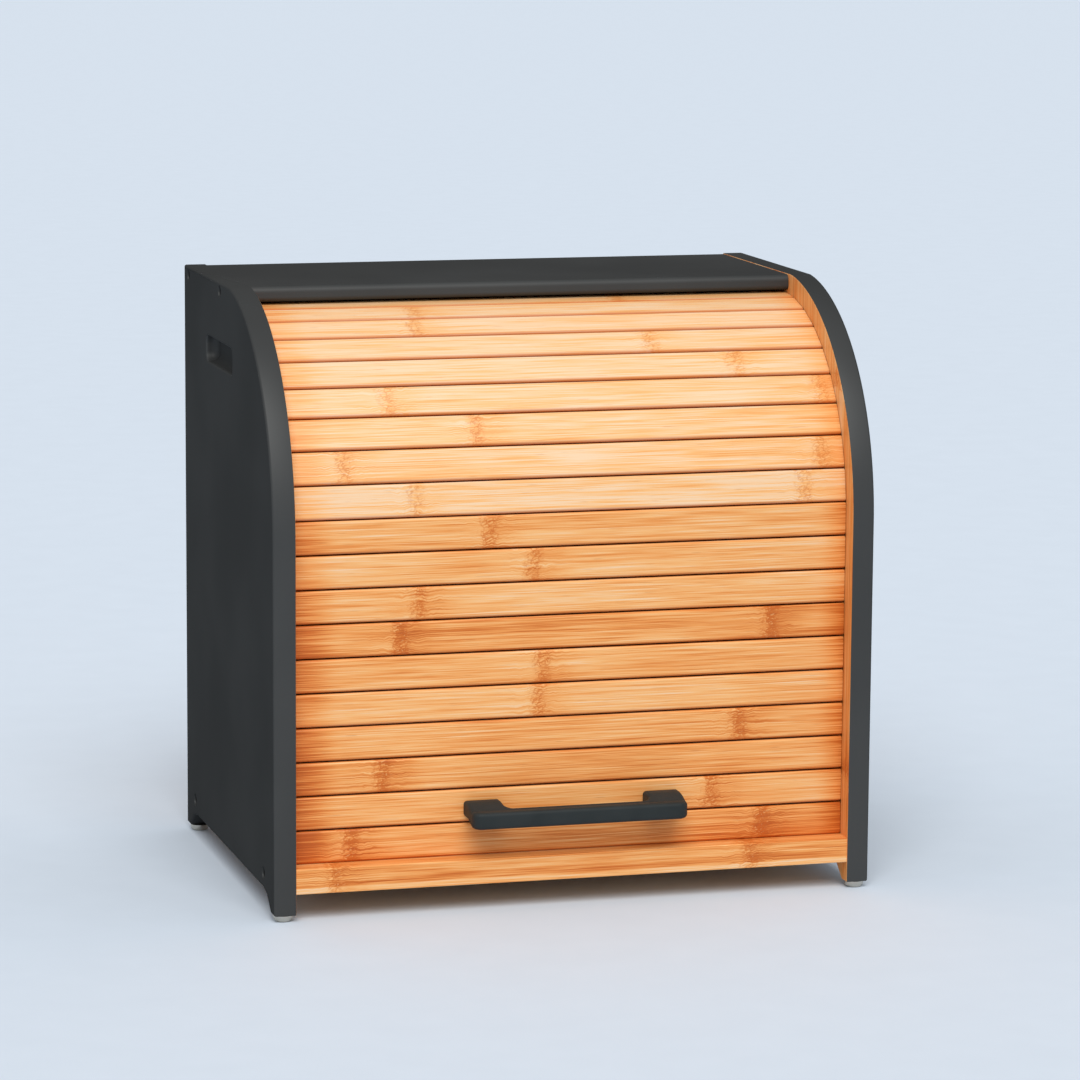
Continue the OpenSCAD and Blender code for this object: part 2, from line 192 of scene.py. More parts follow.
# Where each slat shows a bamboo node, as distances from the middle of the slat, and how deep its tone is.
# The lower slats are set deeper and the upper ones, which face the lamp, paler: partly painted light and
# shade, partly the wood's own tone.
SLAT_LOOKS = {
    1: ((-140, 123), 0.72), 2: ((90,), 0.54), 3: ((-120,), 0.62), 4: ((107,), 0.59), 5: ((-22,), 0.43),
    6: ((-19,), 0.54), 7: ((-109, 127), 0.69), 8: ((-97,), 0.44), 9: ((-25,), 0.46), 10: ((-53,), 0.48),
    11: ((-99, 149), 0.16), 12: ((-142, 161), 0.24), 13: ((-58,), 0.28), 14: ((-110, 167), 0.18),
    15: ((116,), 0.14), 16: ((65,), 0.16), 17: ((-81,), 0.16), 18: ((-77,), 0.20), 19: ((60,), 0.30),
}


# ---- Node trees ----

def srgb(r, g, b):
    """Linear colour of an 8-bit sRGB colour."""
    def linear(value):
        c = value / 255
        return c / 12.92 if c <= 0.04045 else ((c + 0.055) / 1.055) ** 2.4
    return (linear(r), linear(g), linear(b), 1.0)


BLACK = srgb(0, 0, 0)


class Graph:
    """A material's node tree, built from calls that take sockets or plain values as inputs."""

    def __init__(self, name):
        self.material = bpy.data.materials.new(name)
        self.material.use_nodes = True
        self.tree = self.material.node_tree
        self.shader = self.tree.nodes["Principled BSDF"]

    def node(self, kind, inputs=(), **settings):
        made = self.tree.nodes.new(kind)
        for name, value in settings.items():
            setattr(made, name, value)
        for key, value in dict(inputs).items():
            self.feed(made.inputs[key], value)
        return made

    def feed(self, socket, value):
        if isinstance(value, bpy.types.NodeSocket):
            self.tree.links.new(value, socket)
        else:
            socket.default_value = value

    def math(self, operation, *values):
        return self.node("ShaderNodeMath", enumerate(values), operation=operation).outputs[0]

    def add(self, total, *others):
        for other in others:
            total = self.math("ADD", total, other)
        return total

    def multiply(self, product, *others):
        for other in others:
            product = self.math("MULTIPLY", product, other)
        return product

    def subtract(self, first, second):
        return self.math("SUBTRACT", first, second)

    def divide(self, first, second):
        return self.math("DIVIDE", first, second)

    def absolute(self, value):
        return self.math("ABSOLUTE", value)

    def fraction(self, value):
        return self.math("FRACT", value)

    def centred(self, value):
        """A value from 0 to 1 moved down, so that it lies round 0."""
        return self.subtract(value, 0.5)

    def opposite(self, value):
        """1 where the value is 0, and 0 where it is 1."""
        return self.subtract(1.0, value)

    def rise(self, value, low, high, unit=1.0):
        """0 below low, 1 above high and a smooth ramp between them. The unit counts for low and high."""
        inputs = {"Value": value, "From Min": low * unit, "From Max": high * unit}
        return self.node("ShaderNodeMapRange", inputs, interpolation_type="SMOOTHSTEP").outputs[0]

    def mix(self, amount, first, second):
        made = self.node("ShaderNodeMix", {0: amount}, data_type="RGBA")
        self.feed(made.inputs[6], first)
        self.feed(made.inputs[7], second)
        return made.outputs[2]

    def noise(self, vector, scale, detail=2.0, distortion=0.0):
        """Noise from 0 to 1, with about as many features in a unit of the vector as the scale says."""
        inputs = {"Vector": vector, "Scale": scale, "Detail": detail, "Distortion": distortion}
        return self.node("ShaderNodeTexNoise", inputs).outputs["Fac"]

    def place(self):
        return self.node("ShaderNodeTexCoord").outputs["Object"]

    def split(self, vector):
        return self.node("ShaderNodeSeparateXYZ", {0: vector}).outputs

    def vector(self, x, y, z):
        return self.node("ShaderNodeCombineXYZ", {0: x, 1: y, 2: z}).outputs[0]

    def colours(self, value, stops):
        """Colour ramp through (position, 8-bit sRGB colour) pairs."""
        ramp = self.node("ShaderNodeValToRGB", {0: value})
        elements = ramp.color_ramp.elements
        for element, (position, colour) in zip(list(elements), (stops[0], stops[-1])):
            element.position, element.color = position, srgb(*colour)
        for position, colour in stops[1:-1]:
            elements.new(position).color = srgb(*colour)
        return ramp.outputs[0]

    def fix(self, inputs):
        """Sets what is the same all over the surface on the shader itself."""
        for name, value in inputs.items():
            self.shader.inputs[name].default_value = value

    def bump(self, height, strength, distance):
        """Relief from a height, over a distance in millimetres."""
        inputs = {"Height": height, "Strength": strength, "Distance": distance * MM}
        self.feed(self.shader.inputs["Normal"], self.node("ShaderNodeBump", inputs).outputs[0])

    def finish(self, colour, roughness):
        self.feed(self.shader.inputs["Base Color"], colour)
        self.feed(self.shader.inputs["Roughness"], roughness)
        return self.material


# ---- Bamboo ----
# Lengths are in millimetres, and scales of noise are features in a metre. A pair is where a ramp starts and
# where it ends. A TONE and MARK_STRENGTH are pairs too: the value in the palest wood, and its growth up to
# the deepest.

# Glued strips: the seam is counted from a strip's middle in widths, and the shift and contrast are the most
# that two strips differ by
STRIP_W = 20
STRIP_SEAM = (0.482, 0.499)
SEAM_STRENGTH = 0.55
STRIP_SHIFT = 7300
STRIP_CONTRAST = 0.35
KNOT_SPACING = 230

# How far apart in the pattern the strips and the seeds lie
PATTERN_SHIFT = 3700
SEED_SHIFT = 1370

# Knots: a band across the wood, a halo where the fibres bend round it, and a haze on one side of it
WANDER_SCALE = 130.0
RAGGED_SCALE = 600.0
KNOT_WANDER = 8
KNOT_RAGGED = 6
KNOT_BAND = (1.5, 8.0)
KNOT_HALO = (4, 26)
KNOT_BEND = 5
HAZE_START = (-4, 1)
HAZE_END = (3, 32)
HAZE_TONE = (0.12, 0.16)
BAND_TONE = (0.06, 0.14)

# Layers of fibres: length, width, detail and how much they change the tone
FIBRES = {"streak": (110, 1.7, 2.0, 0.95), "broad": (110, 10, 1.0, 0.55), "fine": (45, 0.65, 2.0, 1.5)}

# The wood's colours from pale to toasted
BAMBOO_TONES = ((0.0, (237, 203, 166)), (0.28, (240, 182, 118)), (0.56, (231, 152, 81)),
                (0.80, (206, 114, 46)), (1.0, (182, 90, 32)))
TONE_SPAN = 0.8

# The marks in a knot's band, and the short dashes all over
CURL_SCALE = 260.0
CURL_SWIRL = 3.2
CURL_SHOWN = (0.38, 0.52)
LOOP_L = 3.2
LOOP_W = 1.6
LOOP_LINE = (0.05, 0.24)
LOOP_PITH = (0.30, 0.42)
MARK_STRENGTH = (0.30, 0.75)
PITH_STRENGTH = 0.40
DASH_SCALES = (60.0, 1300.0, 1300.0)
DASH_SHOWN = (0.66, 0.78)
DASH_STRENGTH = 0.35

# Painted shade near a slat's ends, counted from the panels and moved a little to the right so that the left
# ends are darker, a darker tone on its long sides in the joints, and painted shade along its lower edge
END_SHADE_L = (26, 2)
END_SHADE_SHIFT = 6
END_SHADE_TONE = (0.14, 0.40)
JOINT_SIDE = (0.7, 1.5)
EDGE_SHADE_H = 2.4
EDGE_SHADE_STRENGTH = 0.75

# The soft line between two plies, and the gloss: the roughness lies round its middle, by so much in all
PLY_BLUR = 0.5
ROUGHNESS_MIDDLE = 0.42
ROUGHNESS_SPREAD = 0.25


def at_depth(amount, depth):
    """A value that grows with the depth of the wood's tone, at that depth."""
    start, growth = amount
    return start + growth * depth


def glued_strips(g, u, v, seed):
    """Strips side by side: a random value for each, the way to its nearest knot, and the seams."""
    strip = g.divide(v, STRIP_W * MM)
    number = g.add(g.math("FLOOR", strip), seed)
    chance = g.node("ShaderNodeTexWhiteNoise", {"W": number}, noise_dimensions="1D").outputs["Value"]
    place = g.divide(g.add(u, g.multiply(chance, STRIP_SHIFT * MM)), KNOT_SPACING * MM)
    to_knot = g.multiply(g.centred(g.fraction(place)), KNOT_SPACING * MM)
    seam = g.rise(g.absolute(g.centred(g.fraction(strip))), *STRIP_SEAM)
    return chance, to_knot, seam


def nearest_knot(g, u, knots):
    """The way along the fibres to the nearest of the given knots, which is below 0 on one side of it."""
    to_knot, *others = [g.subtract(u, knot * MM) for knot in knots]
    for other in others:
        nearer = g.math("LESS_THAN", g.absolute(other), g.absolute(to_knot))
        to_knot = g.add(g.multiply(nearer, other), g.multiply(g.opposite(nearer), to_knot))
    return to_knot


def knot_loops(g, colour, far_u, v, curl, band, depth):
    """Draws a knot's small dark loops and the pale pith inside them."""
    swirl = g.multiply(g.centred(curl), CURL_SWIRL)
    across = g.add(g.divide(v, LOOP_W * MM), swirl)
    cell = g.vector(g.add(g.divide(far_u, LOOP_L * MM), swirl), across, 0.0)
    loops = g.node("ShaderNodeTexVoronoi", {"Vector": cell, "Scale": 1.0},
                   voronoi_dimensions="2D", feature="DISTANCE_TO_EDGE").outputs["Distance"]
    lines = g.multiply(g.opposite(g.rise(loops, *LOOP_LINE)), g.rise(curl, *CURL_SHOWN))
    marks = g.multiply(band, lines, at_depth(MARK_STRENGTH, depth))
    colour = g.mix(marks, colour, srgb(196, 100, 34))
    pith = g.multiply(band, g.rise(loops, *LOOP_PITH), PITH_STRENGTH)
    return g.mix(pith, colour, srgb(246, 196, 130))


def bamboo(name, along, across, seed, depth, knots=None, plies=(), slat_half=None):
    """Bamboo with its fibres along one axis, and its strips or plies counted across another.

    Without knots given, it is glued up from strips. Depth says how deep its tone is, from 0 to 1, and the
    seed picks its pattern. Plies are (height, change of tone) pairs: above each height the tone changes by
    that much. With half of its height given, it is a slat, darker on its long sides in the joints, with
    painted shade along its lower edge and near its ends.
    """
    g = Graph(name)
    axes = dict(zip("XYZ", g.split(g.place())))
    u, v = axes.pop(along), axes.pop(across)
    w, = axes.values()
    if knots is None:
        chance, to_knot, seam = glued_strips(g, u, v, seed)
    else:
        chance, to_knot, seam = 0.5, nearest_knot(g, u, knots), None
    far_u = g.add(u, g.add(g.multiply(chance, PATTERN_SHIFT * MM), seed * SEED_SHIFT * MM))
    flat = g.vector(far_u, v, w)

    wander = g.centred(g.noise(flat, WANDER_SCALE))
    ragged = g.centred(g.noise(flat, RAGGED_SCALE))
    to_knot = g.add(to_knot, g.multiply(wander, KNOT_WANDER * MM))
    distance = g.absolute(g.add(to_knot, g.multiply(ragged, KNOT_RAGGED * MM)))
    band = g.opposite(g.rise(distance, *KNOT_BAND, MM))
    halo = g.opposite(g.rise(distance, *KNOT_HALO, MM))
    haze = g.multiply(g.rise(to_knot, *HAZE_START, MM), g.opposite(g.rise(to_knot, *HAZE_END, MM)))
    bent_v = g.add(v, g.multiply(wander, halo, KNOT_BEND * MM))

    tone = g.add(depth, g.multiply(g.centred(chance), STRIP_CONTRAST))
    for height, change in plies:
        above = g.rise(v, height - PLY_BLUR, height + PLY_BLUR, MM)
        tone = g.add(tone, g.multiply(above, change))
    layers = {}
    for layer, (length, width, detail, weight) in FIBRES.items():
        sizes = (length * MM, width * MM, width * MM)
        layers[layer] = g.noise(g.vector(*map(g.divide, (far_u, bent_v, w), sizes)), scale=1.0, detail=detail)
        tone = g.add(tone, g.multiply(g.centred(layers[layer]), weight))
    tone = g.add(tone, g.multiply(haze, at_depth(HAZE_TONE, depth)))
    tone = g.add(tone, g.multiply(band, at_depth(BAND_TONE, depth)))
    if slat_half is not None:
        # Painted shade near the ends, where the side panels shade the slat; the left ends are darker
        from_middle = g.absolute(g.subtract(u, END_SHADE_SHIFT * MM))
        near_end = g.rise(from_middle, *[INNER_X - length for length in END_SHADE_L], MM)
        tone = g.add(tone, g.multiply(near_end, at_depth(END_SHADE_TONE, depth)))

    colour = g.colours(g.multiply(tone, TONE_SPAN), BAMBOO_TONES)
    colour = knot_loops(g, colour, far_u, v, g.noise(flat, CURL_SCALE), band, depth)
    dashes = g.noise(g.vector(*map(g.multiply, (far_u, v, w), DASH_SCALES)), scale=1.0, detail=1.0)
    colour = g.mix(g.multiply(g.rise(dashes, *DASH_SHOWN), DASH_STRENGTH), colour, srgb(176, 104, 52))
    if seam is not None:
        colour = g.mix(g.multiply(seam, SEAM_STRENGTH), colour, srgb(150, 88, 44))
    if slat_half is not None:
        # Darker tone on the long sides down in the joints, and painted shade along the lower edge
        long_side = g.rise(w, *JOINT_SIDE, MM)
        lower_edge = g.rise(g.multiply(v, -1.0), slat_half - EDGE_SHADE_H, slat_half, MM)
        joint_tone_and_painted_shade = g.math("MAXIMUM", long_side, g.multiply(lower_edge, EDGE_SHADE_STRENGTH))
        colour = g.mix(joint_tone_and_painted_shade, colour, srgb(190, 88, 24))
    g.fix({"Specular IOR Level": 0.25})
    g.bump(layers["fine"], strength=0.12, distance=0.2)
    roughness = g.add(ROUGHNESS_MIDDLE, g.multiply(g.centred(layers["streak"]), ROUGHNESS_SPREAD))
    return g.finish(colour, roughness)


# ---- Paint, coating, metals and canvas ----
# Scales of noise are features in a metre.

CLOUD_EDGES = (0.3, 0.7)
PAINT_GRAIN_SCALES = (500.0, 500.0, 12.0)
THREAD_PITCH = 0.8


def paint():
    """Satin anthracite paint with a fine pigment, which lets a little of the board's grain show."""
    g = Graph("anthracite_paint")
    place = g.place()
    grain = g.noise(g.vector(*map(g.multiply, g.split(place), PAINT_GRAIN_SCALES)), scale=1.0)
    cloud = g.noise(place, scale=9.0)
    peel = g.noise(place, scale=1500.0)
    g.bump(g.add(g.multiply(grain, 0.5), g.multiply(peel, 0.5)), strength=0.10, distance=0.1)
    g.fix({"Metallic": 0.4, "Specular IOR Level": 0.0, "Specular Tint": BLACK})
    colour = g.mix(g.rise(cloud, *CLOUD_EDGES), srgb(69, 70, 70), srgb(74, 75, 75))
    roughness = g.add(0.48, g.multiply(g.centred(cloud), 0.12))
    return g.finish(colour, roughness)


def coating():
    """Matt blue-black powder coating of the handle."""
    g = Graph("handle_coating")
    place = g.place()
    speckle = g.noise(place, scale=2600.0)
    cloud = g.noise(place, scale=40.0)
    g.bump(speckle, strength=0.15, distance=0.05)
    g.fix({"Specular IOR Level": 0.15})
    colour = g.mix(g.rise(cloud, *CLOUD_EDGES), srgb(39, 44, 45), srgb(44, 49, 50))
    roughness = g.add(0.46, g.multiply(speckle, 0.1))
    return g.finish(colour, roughness)


def black_oxide():
    """Black finish of the screws."""
    g = Graph("black_oxide")
    cloud = g.noise(g.place(), scale=300.0)
    g.fix({"Specular IOR Level": 0.0, "Specular Tint": BLACK})
    colour = g.mix(cloud, srgb(12, 12, 13), srgb(22, 22, 23))
    roughness = g.add(0.4, g.multiply(cloud, 0.2))
    return g.finish(colour, roughness)


def nickel():
    """Slightly scuffed plating of the feet."""
    g = Graph("nickel")
    scuff = g.noise(g.place(), scale=260.0, detail=3.0, distortion=0.8)
    g.bump(scuff, strength=0.05, distance=0.05)
    g.fix({"Metallic": 1.0})
    colour = g.mix(scuff, srgb(205, 201, 192), srgb(176, 171, 160))
    roughness = g.add(0.16, g.multiply(scuff, 0.16))
    return g.finish(colour, roughness)


def canvas():
    """Woven cotton glued to the backs of the slats."""
    g = Graph("canvas")
    place = g.place()
    x, _, z = g.split(place)
    turn = 2 * math.pi / (THREAD_PITCH * MM)
    warp = g.math("SINE", g.multiply(x, turn))
    weft = g.math("SINE", g.multiply(z, turn))
    weave = g.add(g.multiply(warp, weft, 0.5), 0.5)
    uneven = g.noise(place, scale=160.0)
    g.bump(weave, strength=0.4, distance=0.2)
    colour = g.mix(weave, srgb(176, 152, 118), srgb(206, 184, 150))
    colour = g.mix(g.multiply(uneven, 0.35), colour, srgb(150, 126, 96))
    roughness = g.add(0.8, g.multiply(uneven, 0.1))
    return g.finish(colour, roughness)


PAINT = paint()
COATING = coating()
OXIDE = black_oxide()
NICKEL = nickel()
CANVAS = canvas()
UPRIGHT_BAMBOO = bamboo("upright_bamboo", "Z", "Y", seed=3, depth=0.54)
BOARD_BAMBOO = bamboo("board_bamboo", "X", "Y", seed=7, depth=0.45)
PLY_BAMBOO = bamboo("ply_bamboo", "X", "Z", seed=5, depth=0.34, knots=(-152, 112), plies=BASE_PLIES)
BACK_BAMBOO = bamboo("back_bamboo", "X", "Z", seed=11, depth=0.40)
RAIL_BAMBOO = bamboo("rail_bamboo", "Y", "Z", seed=13, depth=0.50)


# ---- Mesh tools ----

def arc(centre, radius, start, end):
    """Points of an arc from one angle to another, in radians, both ends included."""
    count = max(2, math.ceil(abs(end - start) / ARC_STEP))
    angles = [start + (end - start) * i / count for i in range(count + 1)]
    return [(centre[0] + radius * math.cos(a), centre[1] + radius * math.sin(a)) for a in angles]


def circle(centre, diameter, count):
    """Points of a circle, counterclockwise."""
    return [(centre[0] + diameter / 2 * math.cos(2 * math.pi * i / count),
             centre[1] + diameter / 2 * math.sin(2 * math.pi * i / count)) for i in range(count)]


def without_repeats(points, closest=0.01):
    """The closed outline without points that lie on the point before them."""
    return [p for i, p in enumerate(points) if math.dist(p, points[i - 1]) > closest]


def inset(points, distance):
    """The closed outline moved to its left by a distance, with mitred corners.

    That makes a counterclockwise outline smaller and a clockwise one larger, so that the outline of a hole,
    which runs clockwise, widens towards its rim.
    """
    if not distance:
        return list(points)
    moved = []
    for i, (x, y) in enumerate(points):
        before = Vector(points[i]) - Vector(points[i - 1])
        after = Vector(points[(i + 1) % len(points)]) - Vector(points[i])
        n1 = Vector((-before.y, before.x)).normalized()
        n2 = Vector((-after.y, after.x)).normalized()
        shift = (n1 + n2) * (distance / (1 + n1.dot(n2)))
        moved.append((x + shift.x, y + shift.y))
    return moved


def quarter(radius, steps=QUARTER_STEPS):
    """(inset, depth) pairs that round an edge, from the face inwards."""
    angles = [math.pi / 2 * i / steps for i in range(steps + 1)]
    return [(radius * (1 - math.sin(a)), radius * (1 - math.cos(a))) for a in angles]


def rounded_stations(low, high, radius_low, radius_high, steps=QUARTER_STEPS):
    """(place, inset) pairs of a prism from low to high, each rim rounded if it has a radius."""
    start, end = [(low, 0)], [(high, 0)]
    if radius_low:
        start = [(low + depth, move) for move, depth in quarter(radius_low, steps)]
    if radius_high:
        end = [(high - depth, move) for move, depth in quarter(radius_high, steps)]
    return start + end[::-1]


class Mesh:
    """Collects walls and caps, in millimetres, and makes one object from them.

    Place turns a station and a point of the outline there into X, Y and Z.
    """

    def __init__(self, place):
        self.bm = bmesh.new()
        self.place = place

    def ring(self, where, points):
        return [self.bm.verts.new(Vector(self.place(where, a, b)) * MM) for a, b in points]

    def join(self, rings, material=0, smooth=True):
        """Quads between each ring and the next. Returns the first and last ring."""
        for low, high in zip(rings, rings[1:]):
            for i in range(len(low)):
                face = self.bm.faces.new((low[i - 1], low[i], high[i], high[i - 1]))
                face.material_index = material
                face.smooth = smooth
        return rings[0], rings[-1]

    def wall(self, outline, stations, material=0, smooth=True):
        """Joins the outline's rings at each (place, inset) pair."""
        rings = [self.ring(where, inset(outline, move)) for where, move in stations]
        return self.join(rings, material, smooth)

    def lathe(self, profile):
        """Joins circles from (radius, place) pairs."""
        return self.join([self.ring(where, circle((0, 0), 2 * r, LATHE_SIDES)) for r, where in profile])

    def cap(self, *loops, material=0):
        """A flat face inside the first ring, round the other rings."""
        verts = [v for loop in loops for v in loop]
        for triangle in tessellate_polygon([[v.co for v in loop] for loop in loops]):
            face = self.bm.faces.new([verts[i] for i in triangle])
            face.material_index = material
            face.smooth = False

    def prism(self, outline, stations, material=0, smooth=True):
        """A wall with a cap at each end."""
        for ring in self.wall(outline, stations, material, smooth):
            self.cap(ring, material=material)

    def object(self, name, materials):
        bmesh.ops.remove_doubles(self.bm, verts=self.bm.verts, dist=WELD)
        bmesh.ops.recalc_face_normals(self.bm, faces=self.bm.faces)
        return shaded_object(name, self.bm, materials)


def shaded_object(name, bm, materials):
    """Object from a bmesh whose flat faces stay flat and whose smooth faces blend below an angle."""
    for edge in bm.edges:
        flat = not all(face.smooth for face in edge.link_faces)
        edge.smooth = not flat and edge.calc_face_angle(0) < SHARP_ANGLE
    mesh = bpy.data.meshes.new(name)
    bm.to_mesh(mesh)
    bm.free()
    return make_object(name, mesh, materials)


def make_object(name, mesh, materials):
    made = bpy.data.objects.new(name, mesh)
    bpy.context.scene.collection.objects.link(made)
    for material in materials:
        mesh.materials.append(material)
    return made


def fit(piece, node, body, origin=CASE_ORIGIN):
    """Puts a piece in the frame: where it is and what it rides on, and hides the imported part that it stands
    for.
    """
    if origin is not None:
        piece.location = origin
    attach(piece, body)
    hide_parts(node)


def along_x(where, a, b):
    """Place of a piece that runs from side to side: its outline lies in Y and Z."""
    return (where, a, b)


# ---- The curtain's track ----

def track_angle(s):
    """How far a slat leans back at a distance along the track."""
    if s < FRONT_RUN:
        return 0.0
    if s < FRONT_RUN + FRONT_ARC:
        return (s - FRONT_RUN) / FRONT_R
    if s < FRONT_RUN + FRONT_ARC + REAR_ARC:
        return math.pi / 2 + (s - FRONT_RUN - FRONT_ARC) / REAR_R
    return math.pi


def track_point(s):
    """Y and Z at a distance along the track."""
    a = track_angle(s)
    if s < FRONT_RUN:
        return CURTAIN_INSET, TRACK_Z0 + s
    if a < math.pi / 2:
        return CORNER_R - FRONT_R * math.cos(a), ARC_Z + FRONT_R * math.sin(a)
    if a < math.pi:
        return CORNER_R + REAR_R * math.sin(a - math.pi / 2), REAR_ARC_Z + REAR_R * math.cos(a - math.pi / 2)
    return REAR_Y, REAR_ARC_Z - (s - FRONT_RUN - FRONT_ARC - REAR_ARC)


def track_line(move):
    """Points along the whole track, moved towards the inside of the case by a distance."""
    front_low = (CURTAIN_INSET + move, BASE_TOP_Z - GROOVE_FOOT)
    front = arc((CORNER_R, ARC_Z), FRONT_R - move, math.pi, math.pi / 2)
    rear = arc((CORNER_R, REAR_ARC_Z), REAR_R - move, math.pi / 2, 0)
    rear_low = (REAR_Y - move, GROOVE_END_Z)
    return [front_low] + front + rear[1:] + [rear_low]


# ---- Side panels ----

def side_outline():
    """Side panel in Y and Z, counterclockwise."""
    steep = PAD_L + SLOPE_L
    shallow = steep + SHOULDER_L
    flat_start = math.acos((CORNER_LIFT - CORNER_R) / -CORNER_R)
    corner = arc((CORNER_R, ARC_Z), CORNER_R, math.pi / 2 + flat_start, math.pi)
    return without_repeats([
        (0, 0), (PAD_L, 0), (steep, SLOPE_H), (shallow, RECESS_H), (CASE_D - shallow, RECESS_H),
        (CASE_D - steep, SLOPE_H), (CASE_D - PAD_L, 0), (CASE_D, 0), (CASE_D, CASE_H),
    ] + corner)


def grip_outline():
    """Grip recess in Y and Z, clockwise."""
    y, z = GRIP_Y, CASE_H - GRIP_DROP
    dy, dz = GRIP_L / 2 - GRIP_R, GRIP_H / 2 - GRIP_R
    points = []
    for k, (side_y, side_z) in enumerate(((1, 1), (-1, 1), (-1, -1), (1, -1))):
        points += arc((y + side_y * dy, z + side_z * dz), GRIP_R, k * math.pi / 2, (k + 1) * math.pi / 2)
    return without_repeats(points)[::-1]


def groove_outline():
    """The curtain's groove in Y and Z, clockwise."""
    front_side = track_line(GROOVE_SHOULDER)
    inner_side = track_line(SLAT_T - GROOVE_SHOULDER)
    return without_repeats(front_side + inner_side[::-1])


def screw_seats():
    """Y and Z of the screws in each side panel."""
    top_z = CASE_H - TOP_SCREW_DROP
    return [(BASE_SCREW_FRONT, BASE_SCREW_Z), (CASE_D - BASE_SCREW_REAR, BASE_SCREW_Z),
            (TOP_SCREW_FRONT, top_z), (CASE_D - TOP_SCREW_REAR, top_z)]


def side_panel(side, name):
    """Painted outside and on its edges, bare inside, with the curtain's groove cut into the bare face."""
    paint_slot, bare_slot = 0, 1
    m = Mesh(lambda where, a, b: (side * where, a, b))

    # The paint starts halfway round the inner edge.
    rim = rounded_stations(INNER_X, OUTER_X, INNER_ARRIS, OUTER_ARRIS)
    bare_stations = QUARTER_STEPS // 2 + 1
    inner, _ = m.wall(side_outline(), rim[:bare_stations], bare_slot)
    _, outer = m.wall(side_outline(), rim[bare_stations - 1:], paint_slot)

    cove = [(OUTER_X - GRIP_DEPTH + depth, -move) for move, depth in quarter(GRIP_COVE_R)]
    grip_rim = [(OUTER_X - depth, move) for move, depth in quarter(GRIP_RIM_R)][::-1]
    pocket_floor, pocket_rim = m.wall(grip_outline(), cove + grip_rim, paint_slot)
    m.cap(pocket_floor, material=paint_slot)
    bore_rims = []
    for seat in screw_seats():
        bore = circle(seat, SCREW_BORE_D, BORE_SIDES)[::-1]
        stations = rounded_stations(OUTER_X - SCREW_BORE_DEPTH, OUTER_X, 0, SCREW_BORE_R, FINE_QUARTER_STEPS)
        bore_floor, bore_rim = m.wall(bore, stations, paint_slot)
        m.cap(bore_floor, material=paint_slot)
        bore_rims.append(bore_rim)
    groove_stations = [(INNER_X, GROOVE_RIM), (INNER_X + GROOVE_RIM, 0), (INNER_X + GROOVE_DEPTH, 0)]
    groove_rim, groove_floor = m.wall(groove_outline(), groove_stations, bare_slot)
    m.cap(groove_floor, material=bare_slot)

    m.cap(outer, pocket_rim, *bore_rims, material=paint_slot)
    m.cap(inner, groove_rim, material=bare_slot)
    fit(m.object(name, [PAINT, UPRIGHT_BAMBOO]), name, "case")


# ---- Boards ----

def board_outline(low, high, nose_top, nose_under):
    """Section of a board in Y and Z, counterclockwise, with its front edge rounded as a nose."""
    (y0, z0), (y1, z1) = low, high
    arris = BOARD_ARRIS
    return without_repeats(
        arc((y0 + nose_under, z0 + nose_under), nose_under, math.pi, 1.5 * math.pi)
        + arc((y1 - arris, z0 + arris), arris, 1.5 * math.pi, 2 * math.pi)
        + arc((y1 - arris, z1 - arris), arris, 0, math.pi / 2)
        + arc((y0 + nose_top, z1 - nose_top), nose_top, math.pi / 2, math.pi))


def cross_board(node, material, nose_top=BOARD_ARRIS, nose_under=BOARD_ARRIS):
    """A board from side to side, with its section rounded."""
    low, high = [(corner - CASE_ORIGIN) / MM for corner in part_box(node)]
    m = Mesh(along_x)
    m.prism(board_outline(low.yz, high.yz, nose_top, nose_under), [(low.x, 0), (high.x, 0)])
    fit(m.object(node + "_board", [material]), node, "case")


def eased_copy(node, body, material, arris=BOARD_ARRIS):
    """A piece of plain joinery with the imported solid's shape and eased edges."""
    bm = bmesh.new()
    bm.from_mesh(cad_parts[node].data)
    bmesh.ops.remove_doubles(bm, verts=bm.verts, dist=COARSE_WELD)
    bmesh.ops.dissolve_limit(bm, angle_limit=FLAT_ANGLE, verts=bm.verts, edges=bm.edges)
    for face in bm.faces:
        face.smooth = False
    corners = [e for e in bm.edges if len(e.link_faces) == 2 and e.calc_face_angle(0) > CORNER_ANGLE]
    eased = bmesh.ops.bevel(bm, geom=corners, offset=arris * MM, offset_type="OFFSET", segments=3,
                            profile=0.5, affect="EDGES", clamp_overlap=True)
    for face in eased["faces"]:
        face.smooth = True
    fit(shaded_object(node + "_joinery", bm, [material]), node, body, origin=None)


# ---- Curtain ----

def slat_section():
    """Section of a slat: (depth, height), counterclockwise, its outer edges eased."""
    half, r = SLAT_HALF_H, SLAT_EDGE_R
    upper = arc((r, half - r), r, math.pi / 2, math.pi)
    lower = arc((r, r - half), r, math.pi, 1.5 * math.pi)
    return without_repeats([(SLAT_T, half - SLAT_TAPER)] + upper + lower + [(SLAT_T, SLAT_TAPER - half)])


def rectangle(depth_low, depth_high, half):
    """Section between two depths and half a height up and down, counterclockwise."""
    return [(depth_high, half), (depth_low, half), (depth_low, -half), (depth_high, -half)]


